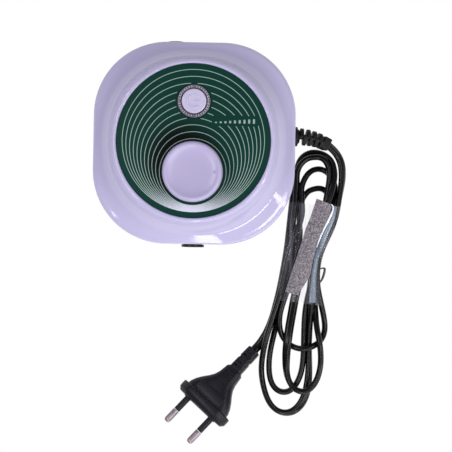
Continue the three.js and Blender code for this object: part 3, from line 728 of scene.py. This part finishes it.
FOLD_HIGHLIGHT_LINE = [(79.5, -32.5), (81.5, -34.5), (78.5, -41.5), (74.5, -49.0), (71.5, -58.0)]
FIN_LINE = [(74.0, -70.5), (77.5, -69.5), (77.0, -72.5), (76.0, -76.5), (74.0, -79.5)]


def between(stations, share):
    """Values part of the way along a list of stations."""
    at = min(share * (len(stations) - 1), len(stations) - 1.0001)
    i = int(at)
    return [Vector(a).lerp(Vector(b), at - i) for a, b in zip(stations[i], stations[i + 1])]


def flat_stations(stations):
    return [((*left, top), (*right, top)) for left, right, top in stations]


def wrap_loop(left, right, u, steps=56):
    """A closed loop of film round the two bundles of strands, tight over them and slack between them."""
    top = left.z
    middle, half = (left + right) / 2, (right - left).length / 2
    across = (right - left).normalized()
    loop = []
    for k in range(steps):
        turn = 2 * math.pi * k / steps
        c, s = math.cos(turn), math.sin(turn)
        x = half * math.copysign(abs(c) ** 0.55, c)
        rise = abs(s) ** 0.45
        sag = 2.0 * math.exp(-((x / (half * 0.42)) ** 2)) if s > 0 else 0
        z = (top + 0.25) / 2 + math.copysign((top - 0.25) / 2, s) * rise - sag
        z += 0.25 * math.sin(x * 1.9 + u * 22) * max(0, s)
        here = middle + across * x
        loop.append((here.x, here.y, max(0.25, z)))
    return loop


def make_wrap():
    stations = flat_stations(WRAP)
    loops = [wrap_loop(*between(stations, k / 40), k / 40) for k in range(41)]
    inner = []
    for loop in loops:
        centre = sum((Vector(p) for p in loop), Vector()) / len(loop)
        inner.append([centre + (Vector(p) - centre) * 0.99 for p in loop])
    count = len(loops[0])
    points = [p for loop in loops + inner[::-1] for p in loop]
    total = len(loops) * 2
    faces = []
    for i in range(total):
        a, b = i * count, ((i + 1) % total) * count
        faces += [[a + k, a + (k + 1) % count, b + (k + 1) % count, b + k] for k in range(count)]
    return build("film_wrap", (points, faces), FILM, stands_for=["cord_wrap"], sharp=80)


def ribbon(name, stations, finish, thick=0.16, crown=0.7, ripple=0.12):
    """A thin band of film over stations of left edge, right edge and height."""
    loops = []
    stations = flat_stations(stations)
    for i in range(37):
        t = i / 36
        left, right = between(stations, t)
        row = []
        for k in range(9):
            w = k / 8
            here = left.lerp(right, w)
            rise = crown * math.sin(math.pi * w) + ripple * math.sin(9 * t + 5 * w)
            row.append((here.x, here.y, here.z + rise))
        loops.append(row + [(x, y, z - thick) for x, y, z in reversed(row)])
    return build(name, loft(loops), finish, sharp=70)


def crease(name, line, high, fall, finish, wide, thick=0.25):
    """A narrow fold of film along a line that sinks from high by fall at each point."""
    path = spline([(*p, high - fall * i, 0) for i, p in enumerate(line)], 8)
    loops = []
    for i, (x, y, z, _) in enumerate(path):
        ahead = Vector(path[min(i + 1, len(path) - 1)][:3]) - Vector(path[max(i - 1, 0)][:3])
        side = ahead.cross(Vector((0, 0, 1))).normalized()
        half = wide * (0.25 + 0.75 * math.sin(math.pi * (i + 0.5) / len(path)) ** 0.6)
        here = Vector((x, y, z))
        loops.append([here + side * (half * a) + Vector((0, 0, thick * b))
                      for a, b in ((1, 0), (0.5, 0.8), (-0.5, 0.8), (-1, 0), (-0.5, -0.8), (0.5, -0.8))])
    return build(name, loft(loops), finish, sharp=80)


wrap = [
    make_wrap(),
    ribbon("frosted_strip", STRIP, FROST),
    ribbon("film_painted_reflection", PAINTED_REFLECTION_BAND, PAINTED_REFLECTION_FILM, 0.1, 0.9, 0.2),
    # The fold's near-white colour is a painted highlight.
    crease("film_fold_painted_highlight", FOLD_HIGHLIGHT_LINE, 17.4, 0.3, FOLD_PAINTED_HIGHLIGHT, 0.55),
    crease("film_fin", FIN_LINE, 9.5, 0.6, FIN_FILM, 0.75, 1.2),
]


# ------------------------------------------------------------------ the body's shells
def outline(turn):
    """Distance from the centre to the rounded square in the direction of turn."""
    major = max(abs(math.cos(turn)), abs(math.sin(turn)))
    minor = min(abs(math.cos(turn)), abs(math.sin(turn)))
    flat = HALF - CORNER
    if HALF * minor / major <= flat:
        return HALF / major
    reach = flat * (major + minor)
    return reach + math.sqrt(reach**2 - 2 * flat**2 + CORNER**2)


def squared(p):
    """Grows a round body into the rounded square, from nothing at the lip to all at the widest edge."""
    radius = math.hypot(p.x, p.y)
    if radius <= LIP_R:
        return p
    share = (radius - LIP_R) / (HALF - LIP_R)
    grown = LIP_R + share * (outline(math.atan2(p.y, p.x)) - LIP_R)
    return Vector((p.x * grown / radius, p.y * grown / radius, p.z))


BODY_SIDES = 240


def top_shell():
    shoulder = (55.38, 38.14)
    profile = [(0, 52.6), (42.8, 52.6)]
    profile += arc_steps((42.8, 52.6), (46.4, 39.4), (53.4, 36.2), 8)[1:]
    profile += rounded([(53.4, 36.2), (54.6, 34.8, 0.5), (54.6, 17.4, 0.1), (57, 17.4, 0.3), (57, 35.6)])[1:]
    profile += arc_steps((57, 35.6), (57, 37.4), shoulder, 7)[1:]
    profile += arc_steps(shoulder, (47.6, 41.2), (44.9, 56.3), 22)[1:]
    profile += arc_steps((44.9, 56.3), (44.5, 58.0), (43.4, LIP_TOP), 5)[1:]
    profile += arc_steps((43.4, LIP_TOP), (42.55, 58.0), (42.5, 57.2), 4)[1:]
    profile += [(42.5, 54.8), (0, 54.8)]
    moulding = changed(lathe(profile, BODY_SIDES), squared)
    shell = build("top_shell_moulded", moulding, LILAC, stands_for=["top_shell"])
    front = Matrix.Translation((0, 0, SOCKET_Z)) @ Matrix.Rotation(math.pi / 2, 4, "X")
    rear = Matrix.Translation((JACK_X, 0, SOCKET_Z)) @ Matrix.Rotation(-math.pi / 2, 4, "X")
    side = Matrix.Translation(RELIEF_BASE) @ Matrix.Rotation(math.pi / 2, 4, "Y")
    return carve(shell, [
        shifted(rod(4.3, 50, 60), y=DIAL_Y),
        shifted(rod(9.5, 50, 60, 80), y=KEY_Y),
        moved(rod(5.7, 50, 60), front),
        moved(rod(4.9, 50, 60), rear),
        box((ROCKER_X - 4.8, ROCKER_X + 4.8), (50, 60), (ROCKER_Z - 6.1, ROCKER_Z + 6.1), 0.05),
        box((ROCKER_X - 5.6, ROCKER_X + 5.6), (55.6, 60), (ROCKER_Z - 7, ROCKER_Z + 7), 0.05),
        moved(rod(4.6, 0, 10), side),
    ])


def base_shell():
    profile = [(0, 2), (50.4, 2)]
    profile += arc_steps((50.4, 2), (56.9, 2.4), (57, 9), 12)
    rim = [(57, 9), (57, 17, 0.3), (54.5, 17.05), (54.4, 18.6, 0.2), (53.6, 18.6, 0.2), (53.6, 8)]
    profile += rounded(rim)[1:]
    profile += arc_steps((53.6, 8), (53.6, 4.2), (49, 4.2), 6)[1:] + [(0, 4.2)]
    moulding = changed(lathe(profile, BODY_SIDES), squared)
    shell = build("base_shell_moulded", moulding, LILAC, stands_for=["base_shell"])
    side = Matrix.Translation(RELIEF_BASE) @ Matrix.Rotation(math.pi / 2, 4, "Y")
    cutters = [moved(rod(4.6, 0, 10), side)]
    for x in (-15, -9, -3, 3, 9, 15):
        cutters.append(shifted(slab(round_rect(1, 9, 0.9), 1, 5, 0.05), x=x))
    for x in (-40.3, 40.3):
        for y in (-40.3, 40.3):
            cutters.append(shifted(rod(3.4, 1, 6.6), x, y))
    return carve(shell, cutters)


top = top_shell()
base = base_shell()


# ------------------------------------------------------------------ the face panel and its print
PRINT_LOW = PANEL_TOP + 0.01
RINGS = 11
RING_FIRST_R = 39.0
RING_LAST_R = 18.3
LINE_WIDE = 0.38
MARK = (22.6, 11.1)
MARK_REACH = (12.6, 2.6)


def face_panel():
    disc = lathe(rounded([(0, 55.1), (42.35, 55.1), (42.35, 57, 0.15), (0, 57)]), 200)
    panel = build("face_panel_disc", disc, GREEN, stands_for=["face_panel"])
    return carve(panel, [shifted(rod(4.3, 50, 60), y=DIAL_Y), shifted(rod(9.4, 50, 60, 80), y=KEY_Y)])


def band(centre_y, radius, low, keep):
    """A thin printed ring, left out where keep says no."""
    steps = 240
    turns = [2 * math.pi * k / steps for k in range(steps + 1)]
    kept = [keep(radius * math.cos(t), centre_y + radius * math.sin(t)) for t in turns]
    runs, run = [], []
    for turn, inside in zip(turns, kept):
        if inside:
            run.append(turn)
        elif run:
            runs.append(run)
            run = []
    if run:
        runs.append(run)
    if len(runs) > 1 and kept[0] and kept[-1]:
        runs[0] = [t - 2 * math.pi for t in runs.pop()[:-1]] + runs[0]
    solids = []
    for run in runs:
        if len(run) < 3:
            continue
        loops = []
        section = ((-1, 0), (1, 0), (1, 0.02), (-1, 0.02))
        corners = [(radius + side * LINE_WIDE / 2, z) for side, z in section]
        for turn in run:
            loops.append([(r * math.cos(turn), centre_y + r * math.sin(turn), low + z) for r, z in corners])
        solids.append(loft(loops, capped=len(run) < steps))
    return solids


def clear_of_marks(x, y):
    off_mark = abs(x - MARK[0]) > MARK_REACH[0] or abs(y - MARK[1]) > MARK_REACH[1]
    return off_mark and math.hypot(x, y - KEY_Y) > 9.9


def panel_print():
    solids = []
    for i in range(RINGS):
        share = i / (RINGS - 1)
        radius = RING_FIRST_R + (RING_LAST_R - RING_FIRST_R) * share
        solids += band(DIAL_Y * share, radius, PRINT_LOW + 0.012 * i, clear_of_marks)
    for k in range(9):
        x = MARK[0] - 10.4 + k * 2.6
        tall = 0.7 + 1.8 * k / 8
        limits = (MARK[1] - 1.25, MARK[1] - 1.25 + tall)
        solids.append(box((x - 0.55, x + 0.55), limits, (PRINT_LOW, PRINT_LOW + 0.03), 0.01))
    return build("panel_print", joined(*solids), INK)


panel = face_panel()
panel_print()


# ------------------------------------------------------------------ the power button
def raised_bar(path, wide, high, base_z):
    """A low rounded bar along points in the plane."""
    loops = []
    for i, (x, y) in enumerate(path):
        ahead = Vector(path[min(i + 1, len(path) - 1)]) - Vector(path[max(i - 1, 0)])
        side = Vector((-ahead.y, ahead.x)).normalized()
        end = min(i, len(path) - 1 - i)
        size = 1.0 if end > 1 else (0.55, 0.9)[end]
        loop = [(-1, -0.3), (-1, 0), (-0.75, 0.75), (0, 1), (0.75, 0.75), (1, 0), (1, -0.3)]
        loops.append([
            (x + side.x * a * wide / 2 * size, y + side.y * a * wide / 2 * size, base_z + b * high * size)
            for a, b in loop
        ])
    return loft(loops)


def power_button():
    cap = lathe(rounded([
        (0, 47.1), (2, 47.1, 0.2), (2, 48.8), (8.2, 48.8, 0.2), (8.2, 50.3, 0.2), (6.8, 50.3),
        (6.8, 58.9, 0.8), (4.6, 59.0, 0.8), (0, 58.8),
    ], 6), 96)
    radius = 3.5
    gap = math.radians(42)
    turns = [gap + (2 * math.pi - 2 * gap) * k / 40 for k in range(41)]
    arc = [(radius * math.cos(turn), radius * math.sin(turn)) for turn in turns]
    bar = [(0.1 + 3.7 * k / 12, 0) for k in range(13)]
    symbol = [raised_bar(arc, 0.95, 0.42, 58.86), raised_bar(bar, 0.95, 0.42, 58.86)]
    solid = shifted(joined(cap, *symbol), y=KEY_Y)
    return build("power_button_cap", solid, LILAC_PALE, "power_key", ["power_button"])


def button_ring():
    ring = lathe(rounded([
        (7.15, 50.6), (11, 50.6, 0.2), (11, 52.3, 0.2), (9.1, 52.3), (9.1, 57.9, 0.3), (8.75, 58.25, 0.3),
        (7.45, 58.0, 0.3), (7.15, 57.4),
    ], 4, closed=True), 96)
    build("button_ring_bezel", shifted(ring, y=KEY_Y), SMOKE, stands_for=["button_ring"])
    ticks = []
    for k in range(36):
        if k % 9 == 0:
            continue
        tick = box((7.55, 8.6), (-0.19, 0.19), (57.9, 58.32), 0.06)
        turn = Matrix.Rotation(math.radians(10 * k), 4, "Z")
        ticks.append(moved(tick, Matrix.Translation((0, KEY_Y, 0)) @ turn))
    return build("button_ring_ticks", joined(*ticks), MARKS)


power_button()
button_ring()


def button_spring():
    turns, per_turn, coil, wire, low, high = 2.25, 36, 3.4, 0.3, 45.8, 48.5
    steps = int(turns * per_turn)
    loops = []
    for i in range(steps + 1):
        turn = 2 * math.pi * i / per_turn
        out = Vector((math.cos(turn), math.sin(turn), 0))
        middle = out * coil + Vector((0, KEY_Y, low + wire + (high - low - 2 * wire) * i / steps))
        round_wire = [2 * math.pi * k / 10 for k in range(10)]
        loops.append([
            middle + out * wire * math.cos(angle) + Vector((0, 0, wire * math.sin(angle)))
            for angle in round_wire
        ])
    spring = build("button_spring_coil", loft(loops), STEEL, stands_for=["button_spring"])
    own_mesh(spring)
    return spring


button_spring()


# ------------------------------------------------------------------ the speed dial
def speed_knob():
    profile = rounded([
        (0, 66.2), (3.2, 66.2), (3.2, 61, 0.2), (5.5, 61, 0.2), (5.5, 65.8), (14.6, 65.8), (14.6, 57.6, 0.2),
        (16.3, 57.6, 0.3), (16.55, 58.6, 0.4), (16.4, 67.6, 1.8), (15.5, 69.4, 1.4), (14.2, 69.45),
    ], 6)
    radii = [13.9, 13.6, 13.3, 13.0] + [12.8 - 0.2 * k for k in range(10)] + [10.5, 9.5, 8, 6, 4, 2]
    profile += [(r, 67.75 + 1.7 * (r / 14.2) ** 4.5) for r in radii] + [(0, 67.75)]

    def dimpled(p):
        away = math.hypot(p.x - 11.9, p.y)
        if p.z > 67 and away < 0.8:
            p.z -= 0.4 * (1 - (away / 0.8) ** 2)
        return p

    knob = shifted(changed(lathe(profile, 360), dimpled), y=DIAL_Y)
    return build("speed_knob_cap", knob, LILAC_SATIN, "speed_dial", ["speed_knob"], sharp=50)


speed_knob()


# ------------------------------------------------------------------ sockets and switches in the walls
def handpiece_socket():
    collar = lathe(rounded([
        (0, 36), (5, 36), (5, 46), (5.3, 46), (5.3, 57.3), (6.45, 57.3, 0.2), (6.45, 58.7, 0.5),
        (5.9, 58.8, 0.2), (4.5, 58.8, 0.3), (4.2, 58.4), (4.2, 45), (0, 45),
    ]), 72)
    turned = Matrix.Translation((0, 0, SOCKET_Z)) @ Matrix.Rotation(math.pi / 2, 4, "X")
    return build("handpiece_socket_collar", moved(collar, turned), BLACK, stands_for=["handpiece_socket"])


def pedal_jack():
    collar = lathe(rounded([
        (0, 40), (4.5, 40), (4.5, 57.3), (5.6, 57.3, 0.1), (5.6, 57.8, 0.2), (5.3, 57.9, 0.1),
        (3.7, 57.9, 0.2), (3.4, 57.6), (3.4, 43), (0, 43),
    ]), 64)
    turned = Matrix.Translation((JACK_X, 0, SOCKET_Z)) @ Matrix.Rotation(-math.pi / 2, 4, "X")
    return build("pedal_jack_collar", moved(collar, turned), BLACK, stands_for=["pedal_jack"])


def feet():
    made = []
    section = [(0, 0.35), (3.2, 0.3, 0.2), (3.8, 0, 0.2), (5.2, 0, 0.3), (6, 0.7, 0.4), (6, 1.9), (0, 1.9)]
    for k, (x, y) in enumerate(((33, 33), (-33, 33), (-33, -33), (33, -33))):
        pad = lathe(rounded(section), 64)
        made.append(build(f"foot_pad_{k + 1}", shifted(pad, x, y), RUBBER, stands_for=[f"foot_{k + 1}"]))
    return made


handpiece_socket()
pedal_jack()
for pad in feet():
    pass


# ------------------------------------------------------------------ CAD nodes that stay
def dress(finish, *names):
    for name in names:
        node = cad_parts[name]
        node.data.materials.clear()
        node.data.materials.append(finish)
        shade(node.data, 35)


def numbered(name):
    return [f"{name}_{k}" for k in range(1, 5)]


dress(STEEL, *numbered("control_screw"), *numbered("board_screw"), *numbered("case_screw"))
dress(STEEL, "pot_washer", "socket_nut", "pedal_nut", "mains_fuse")
dress(BRASS, "pot_nut", "socket_contacts")
dress(ALLOY, "pot_shaft", "heatsink")
dress(IRON, "transformer_core")
dress(TAPE, "transformer_coil")
dress(BOARD, "control_board", "main_board")
dress(GREY, "potentiometer", "switch_plunger", "terminal_block", "board_cable")
dress(BLACK, "power_switch", "capacitor", "regulator", "direction_switch", "direction_rocker")
dress(BROWN, "live_wire")
dress(BLUE, "neutral_wire")


# ------------------------------------------------------------------ stage and light
LIGHT_TARGET = (0, 0, 0.03)


def make_stage():
    floor_finish = finish_of("floor_paper", "#000000", 0.9, 0.004, 300, 0.02)
    shader = floor_finish.node_tree.nodes["Principled BSDF"]
    shader.inputs["Emission Color"].default_value = (1, 1, 1, 1)
    shader.inputs["Emission Strength"].default_value = 1.0
    shader.inputs["Specular IOR Level"].default_value = 0.0
    floor = bpy.data.objects.new("floor", bpy.data.meshes.new("floor"))
    reach = 4.0
    corners = [(-reach, -reach, 0), (reach, -reach, 0), (reach, reach, 0), (-reach, reach, 0)]
    floor.data.from_pydata(corners, [], [(0, 1, 2, 3)])
    floor.data.materials.append(floor_finish)
    scene.collection.objects.link(floor)


def area_light(name, place, target, size, power, colour=(1, 1, 1)):
    data = bpy.data.lights.new(name, "AREA")
    data.shape = "RECTANGLE"
    data.size, data.size_y = size
    data.energy = power
    data.color = colour
    light = bpy.data.objects.new(name, data)
    light.location = place
    light.rotation_euler = (Vector(target) - Vector(place)).to_track_quat("-Z", "Y").to_euler()
    scene.collection.objects.link(light)
    return light


def light_frame(name, azimuth, elevation, distance, size, bar, power):
    """Four area lights that make a bright rectangular frame and face the object."""
    azimuth, elevation = math.radians(azimuth), math.radians(elevation)
    level = math.cos(elevation)
    out = Vector((level * math.cos(azimuth), level * math.sin(azimuth), math.sin(elevation)))
    across = Vector((-math.sin(azimuth), math.cos(azimuth), 0))
    up = out.cross(across)
    wide, high = size
    sides = [((0, high / 2), (wide, bar)), ((0, -high / 2), (wide, bar)),
             ((wide / 2, 0), (bar, high)), ((-wide / 2, 0), (bar, high))]
    area = sum(a * b for _, (a, b) in sides)
    for k, ((u, v), (a, b)) in enumerate(sides):
        place = out * distance + across * u + up * v
        area_light(f"{name}_{k}", place, LIGHT_TARGET, (a, b), power * a * b / area)


def make_light():
    world = bpy.data.worlds.new("studio")
    scene.world = world
    world.use_nodes = True
    back = world.node_tree.nodes["Background"]
    back.inputs["Color"].default_value = (0.97, 0.97, 1.0, 1)
    back.inputs["Strength"].default_value = 0.2
    light_frame("key", -57, 32, 0.95, (1.0, 0.72), 0.08, 8.6)
    area_light("left", (-0.5, 0.0, 0.85), LIGHT_TARGET, (0.9, 0.2), 4.8, (0.94, 0.93, 1.0))
    area_light("right", (0.5, -0.1, 0.9), LIGHT_TARGET, (0.9, 0.14), 2.6, (1.0, 0.95, 0.98))
    scene.view_settings.view_transform = "Standard"
    scene.view_settings.look = "None"


make_stage()
make_light()
